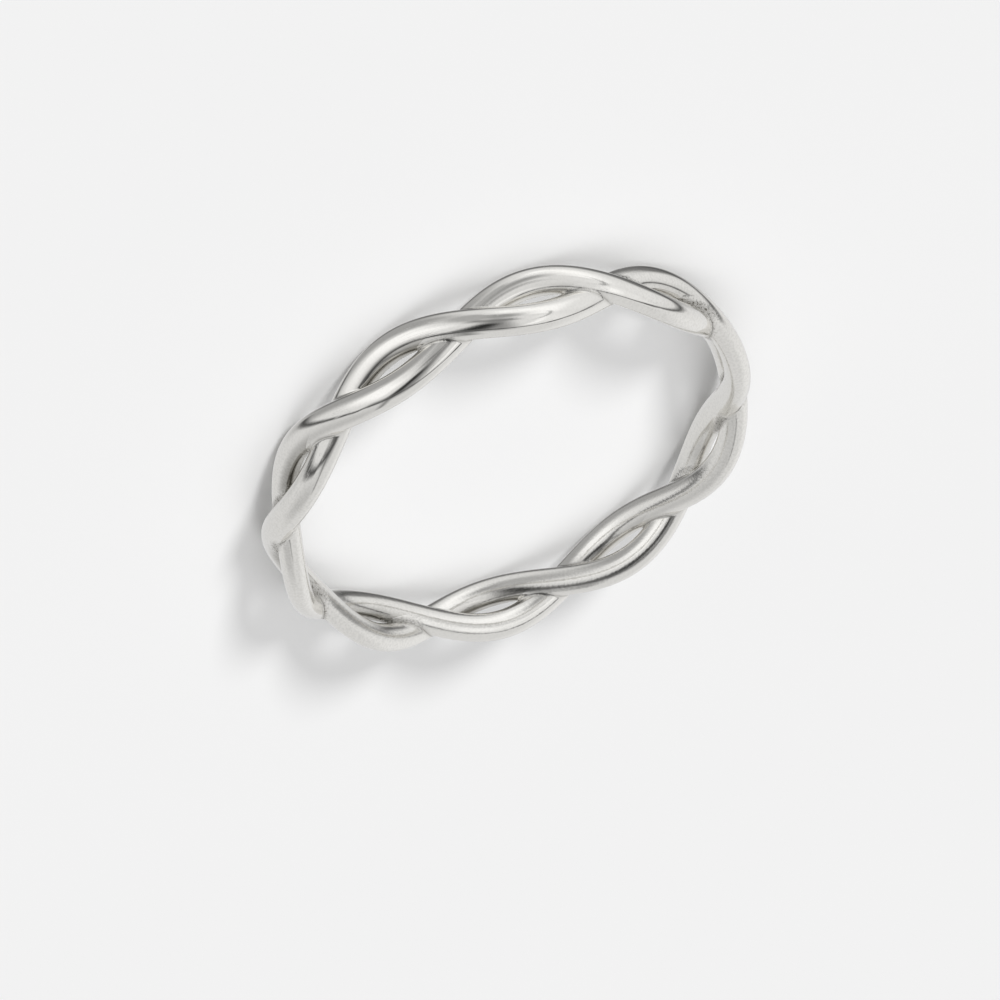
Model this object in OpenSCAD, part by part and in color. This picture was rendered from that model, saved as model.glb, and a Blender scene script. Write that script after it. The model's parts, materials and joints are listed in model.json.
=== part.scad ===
// Finger ring: an open band of two strands that twist round each other, soldered where they cross.
// It lies on its side. +Z is the axis of the finger hole, and the surface it rests on is at z = 0.

/* [Finger hole] */
// Free diameter of the finger hole
hole_d = 17.3; // [14:0.1:22]

/* [Twist] */
// Full twists in one turn of the ring
twists = 5; // [4:1:6]
// How far a strand swings to each side of the band's middle
swing = 0.8; // [0.7:0.01:0.95]
// How far a strand rises over the other where they cross
rise = 0.19; // [0.12:0.01:0.4]

/* [Strand] */
// Width of a strand, along the finger
strand_w = 1.22; // [1:0.02:1.4]
// Thickness of a strand, from the finger outwards
strand_t = 0.95; // [0.8:0.01:1.2]

/* [Finish] */
// Sections in one full twist
sections = 28; // [16:4:28]
// Sides of a section
sides = 16; // [12:2:16]

/* [Hidden] */
// Radius of the circle that both strands twist round
mid_r = hole_d / 2 + strand_t / 2 + rise;
// Width of the whole band, along the finger
band_w = 2 * swing + strand_w;
rings = twists * sections;
step = 360 / rings;

function unit(v) = v / norm(v);
function outward(t) = [cos(t), sin(t), 0];

// Middle of a strand at angle t round the ring: a right-handed twist
function radius_at(t) = mid_r + rise * cos(twists * t);
function height_at(t) = -swing * sin(twists * t);
function middle(t) = radius_at(t) * outward(t) + [0, 0, height_at(t)];

// Directions of the section at angle t: along the strand, away from the finger, and across
function along(t) = unit(middle(t + step / 4) - middle(t - step / 4));
function away(t) = unit(outward(t) - (outward(t) * along(t)) * along(t));
function across(t) = cross(along(t), away(t));

// One point of the oval section at angle t, at angle a round the section
function skin(t, a) = middle(t) + strand_t / 2 * cos(a) * away(t) + strand_w / 2 * sin(a) * across(t);

// Number of the point that is i sections along and j sides round
function number(i, j) = (i % rings) * sides + j % sides;

// One strand, a closed loop swept round the ring
module strand() {
    points = [for (i = [0:rings - 1], j = [0:sides - 1]) skin(i * step, j * 360 / sides)];
    lower = [for (i = [0:rings - 1], j = [0:sides - 1]) [number(i, j), number(i + 1, j + 1), number(i, j + 1)]];
    upper = [for (i = [0:rings - 1], j = [0:sides - 1]) [number(i, j), number(i + 1, j), number(i + 1, j + 1)]];
    polyhedron(points = points, faces = concat(lower, upper));
}

// Both strands, half a twist apart, as one soldered solid of the band's full width
module twisted_band() {
    color("silver")
        translate([0, 0, band_w / 2])
            resize([0, 0, band_w])
                union() {
                    strand();
                    rotate([0, 0, 180 / twists])
                        strand();
                }
}

twisted_band();
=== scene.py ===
import json
import math

import bmesh
import bpy
import numpy as np
from mathutils import Matrix, Vector


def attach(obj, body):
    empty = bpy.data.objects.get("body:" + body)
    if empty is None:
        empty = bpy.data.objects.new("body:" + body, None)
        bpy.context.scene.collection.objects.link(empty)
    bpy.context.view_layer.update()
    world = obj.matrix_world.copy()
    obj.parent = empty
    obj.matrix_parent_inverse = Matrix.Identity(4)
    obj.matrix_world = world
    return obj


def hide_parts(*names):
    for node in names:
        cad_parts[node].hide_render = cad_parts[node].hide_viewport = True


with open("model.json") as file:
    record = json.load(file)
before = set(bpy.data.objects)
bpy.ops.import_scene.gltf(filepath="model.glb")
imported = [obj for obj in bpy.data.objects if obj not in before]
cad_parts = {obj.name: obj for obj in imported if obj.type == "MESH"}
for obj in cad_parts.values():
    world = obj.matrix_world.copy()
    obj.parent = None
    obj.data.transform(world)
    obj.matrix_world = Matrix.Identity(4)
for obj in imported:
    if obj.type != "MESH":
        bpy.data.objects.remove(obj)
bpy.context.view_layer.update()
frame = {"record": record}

MM = 0.001

# Sizes of the ring, in millimetres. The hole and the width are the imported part's own.
HOLE = next(m for m in frame["record"]["mounts"] if m["name"] == "finger_hole")
HOLE_R = HOLE["dims"]["r_mm"]
BAND_W = HOLE["dims"]["length_mm"]
TWISTS = 5
SWING = 0.8
RISE = 0.19
STRAND_W = BAND_W - 2 * SWING
STRAND_T = 0.95
MID_R = HOLE_R + STRAND_T / 2 + RISE
SECTION_R = (STRAND_T + STRAND_W) / 4
# The strands are half a twist apart
PHASES = (0.0, math.pi)

# Fineness of the strands' mesh: sections round the ring, and sides of a section
SECTIONS = 640
SIDES = 48
# The fillet of solder where the strands meet
FILLET = 0.1
# Within this many fillets of a crease, edges longer than this are halved, in so many rounds
FINE_REACH = 1.2
FINE_EDGE = 0.045
FINE_ROUNDS = 2
# Slivers shorter than this, which the union leaves, are closed first
SLIVER = 0.006
# How far from a crease the solder's texture reaches
CREASE_REACH = 0.35

# Steps that find the nearest place on a strand, and steps that draw a point onto the skin
PLACE_STEPS = 6
SKIN_STEPS = 3
# Half the distance over which a slope is measured, and what keeps a division from zero
SLOPE_REACH = 0.002
TINY = 1e-6

# The camera's place round the ring, in degrees and millimetres
AZIMUTH = -104.25
ELEVATION = 33.37
ROLL = 151.84
DISTANCE = 187.1
LENS = 176.84
SENSOR = 36.0
IMAGE = 1000
RING_CENTRE_PX = (509.7, 461.6)
NEAR_AND_FAR_M = (0.01, 10)


# Helpers

def new_object(name, data):
    """A new object in the scene."""
    made = bpy.data.objects.new(name, data)
    bpy.context.collection.objects.link(made)
    return made


def new_mesh(name, points, faces):
    """A mesh from an array of points and a list of faces."""
    mesh = bpy.data.meshes.new(name)
    mesh.from_pydata(np.reshape(points, (-1, 3)).tolist(), [], faces)
    return mesh


def grid_faces(bands, lines, columns):
    """Quads in bands between the lines of a grid of points. Its columns wrap round."""
    faces = []
    for i in range(bands):
        k = (i + 1) % lines
        for j in range(columns):
            m = (j + 1) % columns
            faces.append((i * columns + j, i * columns + m, k * columns + m, k * columns + j))
    return faces


class Graph:
    """The nodes of a material or a world, and short ways to add to them."""

    def __init__(self, owner):
        owner.use_nodes = True
        self.nodes = owner.node_tree.nodes
        self.links = owner.node_tree.links

    def feed(self, socket, value):
        """Gives a socket a constant, or a link from another node's output."""
        if isinstance(value, bpy.types.NodeSocket):
            self.links.new(value, socket)
        else:
            socket.default_value = value

    def add(self, kind, inputs=(), **settings):
        """A new shader node with its settings and inputs."""
        made = self.nodes.new("ShaderNode" + kind)
        for name, value in settings.items():
            setattr(made, name, value)
        for name, value in inputs:
            self.feed(made.inputs[name], value)
        return made

    def calc(self, operation, *values, **settings):
        """The result of a Math node."""
        made = self.add("Math", enumerate(values), operation=operation, **settings)
        return made.outputs["Value"]

    def vector(self, operation, *values):
        """The result of a VectorMath node."""
        made = self.add("VectorMath", enumerate(values), operation=operation)
        return made.outputs["Value" if operation == "DOT_PRODUCT" else "Vector"]

    def height(self, vector):
        """A vector's Z."""
        return self.add("SeparateXYZ", [("Vector", vector)]).outputs["Z"]

    def noise(self, place, fineness, detail):
        """Noise that is finer on each axis by its fineness."""
        scaled = self.vector("MULTIPLY", place, fineness)
        inputs = [("Vector", scaled), ("Scale", 1), ("Detail", detail)]
        return self.add("TexNoise", inputs).outputs["Fac"]

    def step(self, value, ends):
        """A smooth step: 0 at the first end and 1 at the second."""
        inputs = [("Value", value), ("From Min", ends[0]), ("From Max", ends[1])]
        return self.add("MapRange", inputs, interpolation_type="SMOOTHSTEP").outputs["Result"]

    def product(self, first, *others):
        """All the values multiplied."""
        for other in others:
            first = self.calc("MULTIPLY", first, other)
        return first

    def at_least(self, floor, value):
        """Lifts a value from 0 to 1 so that it starts at the floor."""
        return self.calc("MULTIPLY_ADD", value, 1 - floor, floor)

    def weighted(self, plain, weights, marks):
        """The plain value, plus each mark times its weight."""
        for name, weight in weights.items():
            plain = self.calc("MULTIPLY_ADD", marks[name], weight, plain)
        return plain


# The strands' shape

def strand_frame(t, phase):
    """Middle of a strand at angle t, its directions along, away from the finger and across,
    and the middle's speed for each radian."""
    turn = TWISTS * t + phase
    r = MID_R + RISE * np.cos(turn)
    z = BAND_W / 2 - SWING * np.sin(turn)
    dr = -TWISTS * RISE * np.sin(turn)
    dz = -TWISTS * SWING * np.cos(turn)
    c, s, zero = np.cos(t), np.sin(t), np.zeros_like(t)
    middle = np.stack([r * c, r * s, z], -1)
    speed = np.stack([dr * c - r * s, dr * s + r * c, dz], -1)
    rate = np.linalg.norm(speed, axis=-1)
    along = speed / rate[..., None]
    outward = np.stack([c, s, zero], -1)
    away = outward - (outward * along).sum(-1)[..., None] * along
    away /= np.linalg.norm(away, axis=-1)[..., None]
    return middle, along, away, np.cross(along, away), rate


def strand_distance(points, phase):
    """Signed distance to a strand's skin, and the angles round the ring and the section."""
    t = np.arctan2(points[:, 1], points[:, 0])
    for _ in range(PLACE_STEPS):
        middle, along, away, across, rate = strand_frame(t, phase)
        t = t + ((points - middle) * along).sum(-1) / rate
    offset = points - middle
    u, v = (offset * away).sum(-1), (offset * across).sum(-1)
    a, b = STRAND_T / 2, STRAND_W / 2
    level = np.sqrt((u / a) ** 2 + (v / b) ** 2)
    slope = np.sqrt((u / a**2) ** 2 + (v / b**2) ** 2)
    return level * (level - 1) / np.maximum(slope, TINY), t, np.arctan2(v / b, u / a)


def strand_distances(points):
    """Signed distances to the two strands."""
    return [strand_distance(points, phase)[0] for phase in PHASES]


def crease_gap(points):
    """How much nearer one strand is than the other: 0 in the crease between them."""
    d1, d2 = strand_distances(points)
    return np.abs(d1 - d2)


def ring_distance(points):
    """Signed distance to the whole ring. The least of the two is rounded off over the fillet."""
    d1, d2 = strand_distances(points)
    near = np.maximum(FILLET - np.abs(d1 - d2), 0) / FILLET
    return np.minimum(d1, d2) - near**2 * FILLET / 4


def gradient(points):
    """Slope of the ring's distance at each point."""
    columns = []
    for axis in np.eye(3) * SLOPE_REACH:
        columns.append(ring_distance(points + axis) - ring_distance(points - axis))
    return np.stack(columns, -1) / (2 * SLOPE_REACH)


def strand_object(name, phase):
    """One strand as a closed tube of quads, in millimetres."""
    t = np.linspace(0, 2 * math.pi, SECTIONS, endpoint=False)
    a = np.linspace(0, 2 * math.pi, SIDES, endpoint=False)
    middle, _, away, across, _ = strand_frame(t, phase)
    thick = STRAND_T / 2 * np.cos(a)[None, :, None] * away[:, None]
    wide = STRAND_W / 2 * np.sin(a)[None, :, None] * across[:, None]
    faces = grid_faces(SECTIONS, SECTIONS, SIDES)
    return new_object(name, new_mesh(name, middle[:, None] + thick + wide, faces))


def joined(one, other):
    """The union of two closed objects, as one mesh."""
    cut = one.modifiers.new("union", "BOOLEAN")
    cut.operation, cut.object, cut.solver = "UNION", other, "MANIFOLD"
    graph = bpy.context.evaluated_depsgraph_get()
    mesh = bpy.data.meshes.new_from_object(one.evaluated_get(graph))
    for obj in (one, other):
        bpy.data.objects.remove(obj, do_unlink=True)
    return mesh


def refined(mesh):
    """Splits the faces near the crease until they can carry the fillet."""
    work = bmesh.new()
    work.from_mesh(mesh)
    bmesh.ops.triangulate(work, faces=work.faces[:])
    bmesh.ops.dissolve_degenerate(work, dist=SLIVER, edges=work.edges[:])
    bmesh.ops.triangulate(work, faces=work.faces[:])
    for _ in range(FINE_ROUNDS):
        work.verts.ensure_lookup_table()
        gap = crease_gap(np.array([v.co for v in work.verts]))
        close = [e for e in work.edges
                 if e.calc_length() > FINE_EDGE
                 and min(gap[v.index] for v in e.verts) < FINE_REACH * FILLET]
        bmesh.ops.subdivide_edges(work, edges=close, cuts=1)
        bmesh.ops.triangulate(work, faces=work.faces[:])
        work.verts.index_update()
    # A point with only two faces is the tip of a folded flap
    flaps = [v for v in work.verts if len(v.link_faces) == 2]
    bmesh.ops.delete(work, geom=flaps, context="VERTS")
    work.to_mesh(mesh)
    work.free()


def settled(mesh):
    """Moves every point onto the ring's skin and sets the true normals. The mesh is then in
    metres, and the points that come back are in millimetres."""
    flat = np.empty(len(mesh.vertices) * 3)
    mesh.vertices.foreach_get("co", flat)
    points = flat.reshape(-1, 3)
    for _ in range(SKIN_STEPS):
        slope = gradient(points)
        points = points - (ring_distance(points) / (slope**2).sum(-1))[:, None] * slope
    normals = gradient(points)
    normals /= np.linalg.norm(normals, axis=1)[:, None]
    mesh.vertices.foreach_set("co", (points * MM).ravel())
    mesh.update()
    mesh.polygons.foreach_set("use_smooth", [True] * len(mesh.polygons))
    mesh.normals_split_custom_set_from_vertices(normals.tolist())
    return points


def marked(mesh, points):
    """Gives the metal's texture the nearness of a crease, and the place along and round the
    strand in millimetres."""
    crease = np.clip(1 - crease_gap(points) / CREASE_REACH, 0, 1)
    mesh.attributes.new("crease", "FLOAT", "POINT").data.foreach_set("value", crease)
    corners = np.empty(len(mesh.loops), int)
    mesh.loops.foreach_get("vertex_index", corners)
    corners = corners.reshape(-1, 3)
    d1, d2 = strand_distances(points[corners].mean(1))
    second = (d2 < d1)[:, None, None]
    turns = [np.stack(strand_distance(points, phase)[1:], -1)[corners] for phase in PHASES]
    place = np.where(second, turns[1], turns[0])
    # A face's corners are never more than half a turn from its first corner
    first = place[:, :1]
    place = first + (place - first + math.pi) % (2 * math.pi) - math.pi
    place = place * (MID_R, SECTION_R) + second * STRAND_W
    mesh.uv_layers.new(name="strand").data.foreach_set("uv", place.ravel())


def make_ring():
    """The whole ring in its metal."""
    strands = [strand_object(f"strand_{i}", phase) for i, phase in enumerate(PHASES)]
    mesh = joined(*strands)
    refined(mesh)
    marked(mesh, settled(mesh))
    mesh.name = "twisted_strands"
    mesh.materials.clear()
    mesh.materials.append(silver_material())
    return new_object("twisted_strands", mesh)


# Materials

SILVER = (0.9, 0.887, 0.856)
# The dark tone that the metal is mixed towards: painted shade in the creases, on the walls and at
# the corners of the openings, with dark pits and sand in the grain
SHADE_AND_SOLDER = (0.2, 0.19, 0.165)

# Noises in the metal: fineness on each axis, and detail. Streaks and scratches lie along and
# round the strand, for each millimetre. Grain and patches lie in space, for each metre.
STREAKS = ((0.7, 15, 1), 4)
SCRATCHES = ((0.3, 7, 1), 1)
GRAIN = ((11000, 11000, 11000), 2)
PATCHES = ((900, 900, 900), 2)

# Ends of the smooth steps that turn noises, heights and directions into marks.
# A scratch follows the middle value of its noise, and shows in patches.
SCRATCH_MIDDLE = 0.5
SCRATCH_LINE = (0.012, 0)
SCRATCH_PATCH = (0.5, 0.6)
# How far the skin faces away from the finger, where it is satin
SATIN_FACING = (0.2, -0.7)
# Direction from the ring's middle to the end whose openings have painted shade on their walls,
# the reach of that side, and what is left of that painted shade elsewhere
END_WAY = math.radians(-15)
SHADED_SIDE = (-0.4, 0.35)
WALL_SHADE_ELSEWHERE = 0.25
# The solder is rough at both ends of the ring, and has little of that elsewhere
ROUGH_ENDS = (0.58, 0.82)
ROUGH_ELSEWHERE = 0.1
# Walls of the openings, which get painted shade: how far they face the band's middle, and the
# height from it in metres
WALL_FACING = (-0.3, -0.95)
WALL_REACH = (0.0006, 0.0003)
# Rough corners of the openings, which also get painted shade: nearness of a crease, and the
# height from the band's middle
CORNER_CREASE = (0.1, 0.8)
CORNER_REACH = (0.0006, 0.00025)
# Solder in the creases, in patches, with pits and sand where the grain is low
SOLDER_POWER = 3
SOLDER_PATCH = (0.38, 0.55)
PIT_GRAIN = (0.46, 0.36)
SAND_GRAIN = (0.6, 0.35)

# Weights of the marks in the metal's roughness, in how high the grain stands and in the skin's
# height, and the skin's depth in metres
PLAIN_ROUGHNESS = 0.045
ROUGHNESS = {"streaks": 0.05, "satin": 0.08, "scratch": 0.06, "solder": 0.3}
PLAIN_GRIT = 0.05
GRIT = {"satin": 0.34, "solder": 8}
HEIGHT = {"streaks": 0.14, "scratch": -0.1}
BUMP_M = 0.00001

# Painted shade in the creases and on the walls, as a slope and a start over the patches, painted
# shade at the corners, and darkness of the sand, as a slope and a start over the nearness of the
# ring's ends
CREASE_POWER = 6
CREASE_DARK = (1.2, -0.15)
WALL_DARK = (0.65, 0.25)
CORNER_DARK = 0.4
SAND_DARK = (0.05, 0.035)

# The floor's tone, how far it wavers, the fineness and detail of that, and the roughness
FLOOR_TONE = 0.88
FLOOR_WAVER = 0.006
FLOOR_CLOUDS = ((60, 60, 60), 3)
FLOOR_ROUGHNESS = 0.9


def silver_marks(g):
    """The noises in the metal, and the marks that they and the shape give, from 0 to 1."""
    strand = g.add("UVMap", uv_map="strand").outputs["UV"]
    crease = g.add("Attribute", attribute_name="crease").outputs["Fac"]
    place = g.add("TexCoord").outputs["Object"]
    normal = g.add("NewGeometry").outputs["Normal"]
    outward = g.vector("NORMALIZE", g.vector("MULTIPLY", place, (1, 1, 0)))
    streaks = g.noise(strand, *STREAKS)
    grain = g.noise(place, *GRAIN)
    patches = g.noise(place, *PATCHES)

    off_line = g.calc("ABSOLUTE", g.calc("SUBTRACT", g.noise(strand, *SCRATCHES), SCRATCH_MIDDLE))
    scratch = g.product(g.step(off_line, SCRATCH_LINE), g.step(patches, SCRATCH_PATCH))
    satin = g.step(g.vector("DOT_PRODUCT", outward, normal), SATIN_FACING)

    end_way = g.vector("DOT_PRODUCT", outward, (math.cos(END_WAY), math.sin(END_WAY), 0))
    shaded_side = g.at_least(WALL_SHADE_ELSEWHERE, g.step(end_way, SHADED_SIDE))
    ends = g.step(g.calc("ABSOLUTE", end_way), ROUGH_ENDS)

    above = g.calc("SUBTRACT", g.height(place), BAND_W / 2 * MM)
    off_middle = g.calc("ABSOLUTE", above)
    inwards = g.product(g.calc("SIGN", above), g.height(normal))
    # Painted shade on the walls of the openings, strongest towards one end
    wall = g.product(g.step(inwards, WALL_FACING), g.step(off_middle, WALL_REACH), shaded_side)
    corner = g.product(g.step(crease, CORNER_CREASE), g.step(off_middle, CORNER_REACH), ends)
    solder = g.product(g.calc("POWER", crease, SOLDER_POWER), g.step(patches, SOLDER_PATCH),
                       g.at_least(ROUGH_ELSEWHERE, ends))
    solder = g.calc("MAXIMUM", solder, corner)
    return {"crease": crease, "streaks": streaks, "grain": grain, "patches": patches,
            "scratch": scratch, "satin": satin, "ends": ends, "wall": wall,
            "corner": corner, "solder": solder}


def silver_darkness(g, marks):
    """How far the metal's colour is from silver towards a dark tone: painted shade in the
    creases, on the walls and at the corners of the openings, and dark pits and sand in the grain.
    """
    patches, grain = marks["patches"], marks["grain"]
    # Painted shade in the creases between the strands, in patches
    dark = g.product(g.calc("POWER", marks["crease"], CREASE_POWER),
                     g.calc("MULTIPLY_ADD", patches, *CREASE_DARK))
    pits = g.product(marks["solder"], g.step(grain, PIT_GRAIN))
    # Painted shade at the corners of the openings
    corner = g.product(marks["corner"], CORNER_DARK)
    # Painted shade on the walls of the openings, in patches
    wall = g.product(marks["wall"], g.calc("MULTIPLY_ADD", patches, *WALL_DARK))
    for other in (pits, corner, wall):
        dark = g.calc("MAXIMUM", dark, other)
    sand = g.product(g.step(grain, SAND_GRAIN), g.calc("MULTIPLY_ADD", marks["ends"], *SAND_DARK))
    return g.calc("ADD", dark, sand)


def silver_material():
    """Polished silver with streaks and scratches along the strands, satin towards the finger,
    rough solder with dark pits in the creases, and painted shade in the creases and on the walls
    and corners of the openings."""
    material = bpy.data.materials.new("polished_silver")
    g = Graph(material)
    marks = silver_marks(g)

    grit = g.product(marks["grain"], g.weighted(PLAIN_GRIT, GRIT, marks))
    height = g.weighted(grit, HEIGHT, marks)
    bump = g.add("Bump", [("Strength", 1), ("Distance", BUMP_M), ("Height", height)])

    colour = g.add("Mix", [(0, silver_darkness(g, marks))], data_type="RGBA")
    tones = [s for s in colour.inputs if s.type == "RGBA"]
    for socket, tone in zip(tones, (SILVER, SHADE_AND_SOLDER)):
        g.feed(socket, (*tone, 1))

    shader = g.nodes["Principled BSDF"]
    g.feed(shader.inputs["Base Color"], next(s for s in colour.outputs if s.type == "RGBA"))
    g.feed(shader.inputs["Metallic"], 1)
    g.feed(shader.inputs["Roughness"], g.weighted(PLAIN_ROUGHNESS, ROUGHNESS, marks))
    g.feed(shader.inputs["Normal"], bump.outputs["Normal"])
    return material


def floor_material():
    """A pale matt floor with a faint unevenness."""
    material = bpy.data.materials.new("pale_floor")
    g = Graph(material)
    clouds = g.noise(g.add("TexCoord").outputs["Object"], *FLOOR_CLOUDS)
    ends = [("To Min", FLOOR_TONE - FLOOR_WAVER), ("To Max", FLOOR_TONE + FLOOR_WAVER)]
    tone = g.add("MapRange", [("Value", clouds), *ends]).outputs["Result"]
    shader = g.nodes["Principled BSDF"]
    g.feed(shader.inputs["Base Color"], tone)
    g.feed(shader.inputs["Roughness"], FLOOR_ROUGHNESS)
    g.feed(shader.inputs["Specular IOR Level"], 0)
    return material


# Studio, floor, light and camera

# The tent's up direction leans this far from the picture's own up towards the camera
TENT_LEAN = math.radians(32)
TENT_R_M = 0.6
# Degrees between the lines of the tent's mesh
TENT_STEP = 1
# Tones are as the metal shows them, from 0 to 255
FULL_TONE = 255
TENT_TONE = 210
# Soft cards on the tent, painted in turn: tone, azimuth and elevation of the middle, half
# width, half height, width of the soft edge, and how far the middle moves sideways for each
# degree upwards
CARDS = (
    ("table, right side", 226, 110, -36, 40, 34, 50, 0),
    ("table, left front", 186, -45, -34, 34, 20, 40, 0),
    ("upper tent", 216, 0, 48, 180, 46, 8, 0),
    ("ceiling", 152, 0, 90, 180, 12, 14, 0),
    ("ceiling, left part", 168, -95, 75, 62, 10, 12, 0),
    ("grey wall, left back", 157, -132, 28, 26, 34, 30, 0.3),
    ("softbox, left", 250, -62, 38, 27, 15, 20, 0),
    ("right front", 228, 60, 28, 16, 30, 24, 0.2),
    ("softbox, right back", 252, 136, 60, 50, 11, 20, 0),
    ("wall, right back", 224, 108, 36, 24, 16, 20, 0),
    ("softbox, right front", 250, 44, 29, 6, 12, 12, 0.9),
    ("seam, right front", 124, 76, 53, 3, 8, 10, 3.2),
    ("dark, right back", 114, 155, 13, 11, 12, 14, -0.3),
    ("dark, left back", 102, -158, 4, 10, 6, 14, 0),
    ("dark behind", 112, 180, 10, 24, 16, 22, 0),
    ("camera gap", 136, 3, 34, 15, 40, 24, 0),
    ("camera gap, upper part", 124, 0, 66, 36, 6, 18, 0),
    ("camera gap, dark core", 44, -8, 24, 8, 23, 16, 0.25),
    ("camera, foot", 112, -22, 8, 20, 4, 14, 0),
    ("stand", 120, -9, -14, 3, 22, 12, -0.2),
    ("gap, left", 60, -90, 1, 46, 2.5, 8, 0),
    ("gap, front", 66, 8, 4, 54, 2, 8, 0),
    ("gap, right", 60, 110, 6, 60, 2, 9, 0),
)
# The curve from a screen tone to light: where it starts to bend, and its slope, offset and power
CURVE_BEND = 0.04045
CURVE_SLOPE = 12.92
CURVE_OFFSET = 0.055
CURVE_POWER = 2.4

FLOOR_HALF_M = 0.5
# Light on the floor, how fast the overhead light fades towards the horizon, and the key light's
# share, softness, and direction to the picture's right, up and towards the camera
FLOOR_LIGHT = 1.01
SKY_POWER = 3
KEY_SHARE = 0.3
KEY_SOFTNESS = math.radians(12)
KEY_WAY = (0.5, 0.35, 1)


def camera_axes():
    """The camera's right, up and back directions in the ring's frame."""
    azimuth, elevation, roll = (math.radians(v) for v in (AZIMUTH, ELEVATION, ROLL))
    flat = math.cos(elevation)
    back = Vector((flat * math.cos(azimuth), flat * math.sin(azimuth), math.sin(elevation)))
    level = Vector((0, 0, 1)).cross(back).normalized()
    right = math.cos(roll) * level + math.sin(roll) * back.cross(level)
    return right, back.cross(right), back


def soft_step(x):
    """0 up to 0, 1 from 1 on, and smooth between."""
    x = np.clip(x, 0, 1)
    return x * x * (3 - 2 * x)


def tent_tones(azimuth, elevation):
    """Tone of the tent in each direction, in degrees round it and above its floor."""
    tones = np.full(azimuth.shape, float(TENT_TONE))
    for _, tone, middle, height, half_w, half_h, edge, lean in CARDS:
        aside = (azimuth - middle - lean * (elevation - height) + 180) % 360 - 180
        cover = soft_step((half_w + edge / 2 - np.abs(aside)) / edge)
        cover = cover * soft_step((half_h + edge / 2 - np.abs(elevation - height)) / edge)
        tones += (tone - tones) * cover
    return tones


def linear(tone):
    """A screen tone as light."""
    v = tone / FULL_TONE
    bent = ((v + CURVE_OFFSET) / (1 + CURVE_OFFSET)) ** CURVE_POWER
    return np.where(v < CURVE_BEND, v / CURVE_SLOPE, bent)


def tent_ways(azimuth, elevation):
    """Directions from the ring to the tent, for angles in degrees."""
    right, up, back = (np.array(v) for v in camera_axes())
    tent_up = math.cos(TENT_LEAN) * up + math.sin(TENT_LEAN) * back
    tent_front = math.cos(TENT_LEAN) * back - math.sin(TENT_LEAN) * up
    a, e = np.radians(azimuth)[..., None], np.radians(elevation)[..., None]
    return np.cos(e) * (np.cos(a) * tent_front + np.sin(a) * right) + np.sin(e) * tent_up


def make_tent():
    """A light tent that only the metal's reflections see."""
    rows, columns = 180 // TENT_STEP, 360 // TENT_STEP
    azimuth, elevation = np.meshgrid(np.arange(columns) * TENT_STEP - 180.0,
                                     90 - np.arange(rows + 1) * TENT_STEP)
    faces = grid_faces(rows, rows + 1, columns)
    mesh = new_mesh("tent", tent_ways(azimuth, elevation) * TENT_R_M, faces)
    tones = linear(tent_tones(azimuth, elevation)).ravel()
    colours = np.stack([tones, tones, tones, np.ones_like(tones)], -1)
    glow = mesh.attributes.new("glow", "FLOAT_COLOR", "POINT")
    glow.data.foreach_set("color", colours.ravel())
    mesh.materials.append(tent_material())
    tent = new_object("tent", mesh)
    tent.visible_camera = tent.visible_diffuse = False
    tent.visible_shadow = tent.visible_transmission = False


def tent_material():
    """The tent's glow, as strong as the metal's own colour needs."""
    material = bpy.data.materials.new("tent_glow")
    g = Graph(material)
    material.cycles.emission_sampling = "NONE"
    g.nodes.clear()
    glow = g.add("Attribute", attribute_name="glow").outputs["Color"]
    light = g.add("Emission", [("Color", glow), ("Strength", 1 / SILVER[0])])
    g.add("OutputMaterial", [("Surface", light.outputs["Emission"])])
    return material


def make_floor():
    """A floor that the metal doesn't reflect."""
    signs = ((-1, -1, 0), (1, -1, 0), (1, 1, 0), (-1, 1, 0))
    mesh = new_mesh("floor", FLOOR_HALF_M * np.array(signs), [(0, 1, 2, 3)])
    mesh.materials.append(floor_material())
    floor = new_object("floor", mesh)
    floor.visible_glossy = False


def make_world():
    """Light from overhead that fades towards the horizon. The metal doesn't reflect it."""
    world = bpy.data.worlds.new("studio")
    bpy.context.scene.world = world
    world.cycles_visibility.glossy = False
    g = Graph(world)
    upwards = g.height(g.add("TexCoord").outputs["Generated"])
    fade = g.calc("POWER", upwards, SKY_POWER, use_clamp=True)
    # A level floor gets 2 / (n + 2) of the light of a sky that fades with the power n
    overhead = FLOOR_LIGHT * (1 - KEY_SHARE) * (SKY_POWER + 2) / 2
    background = g.nodes["Background"]
    g.feed(background.inputs["Color"], (1, 1, 1, 1))
    g.feed(background.inputs["Strength"], g.product(fade, overhead))


def make_key():
    """The key light, which gives the floor its soft shadow."""
    right, up, back = camera_axes()
    way = (KEY_WAY[0] * right + KEY_WAY[1] * up + KEY_WAY[2] * back).normalized()
    data = bpy.data.lights.new("key", "SUN")
    data.angle = KEY_SOFTNESS
    data.energy = FLOOR_LIGHT * KEY_SHARE * math.pi / way.z
    key = new_object("key", data)
    key.rotation_euler = way.to_track_quat("Z", "Y").to_euler()
    key.visible_glossy = False


def make_camera():
    """The camera, which puts the ring's middle at its place in the picture."""
    right, up, back = camera_axes()
    pixel = DISTANCE * SENSOR / LENS / IMAGE
    aside = (RING_CENTRE_PX[0] - IMAGE / 2) * pixel
    below = (RING_CENTRE_PX[1] - IMAGE / 2) * pixel
    place = Vector((0, 0, BAND_W / 2)) - aside * right + below * up + DISTANCE * back
    data = bpy.data.cameras.new("camera")
    data.lens, data.sensor_width = LENS, SENSOR
    data.clip_start, data.clip_end = NEAR_AND_FAR_M
    camera = new_object("camera", data)
    turn = Matrix((right, up, back)).transposed().to_4x4()
    camera.matrix_world = Matrix.Translation(place * MM) @ turn
    bpy.context.scene.camera = camera


ring = make_ring()
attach(ring, "root")
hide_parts("twisted_band")

make_tent()
make_floor()
make_world()
make_key()
make_camera()
bpy.context.scene.view_settings.view_transform = "Standard"
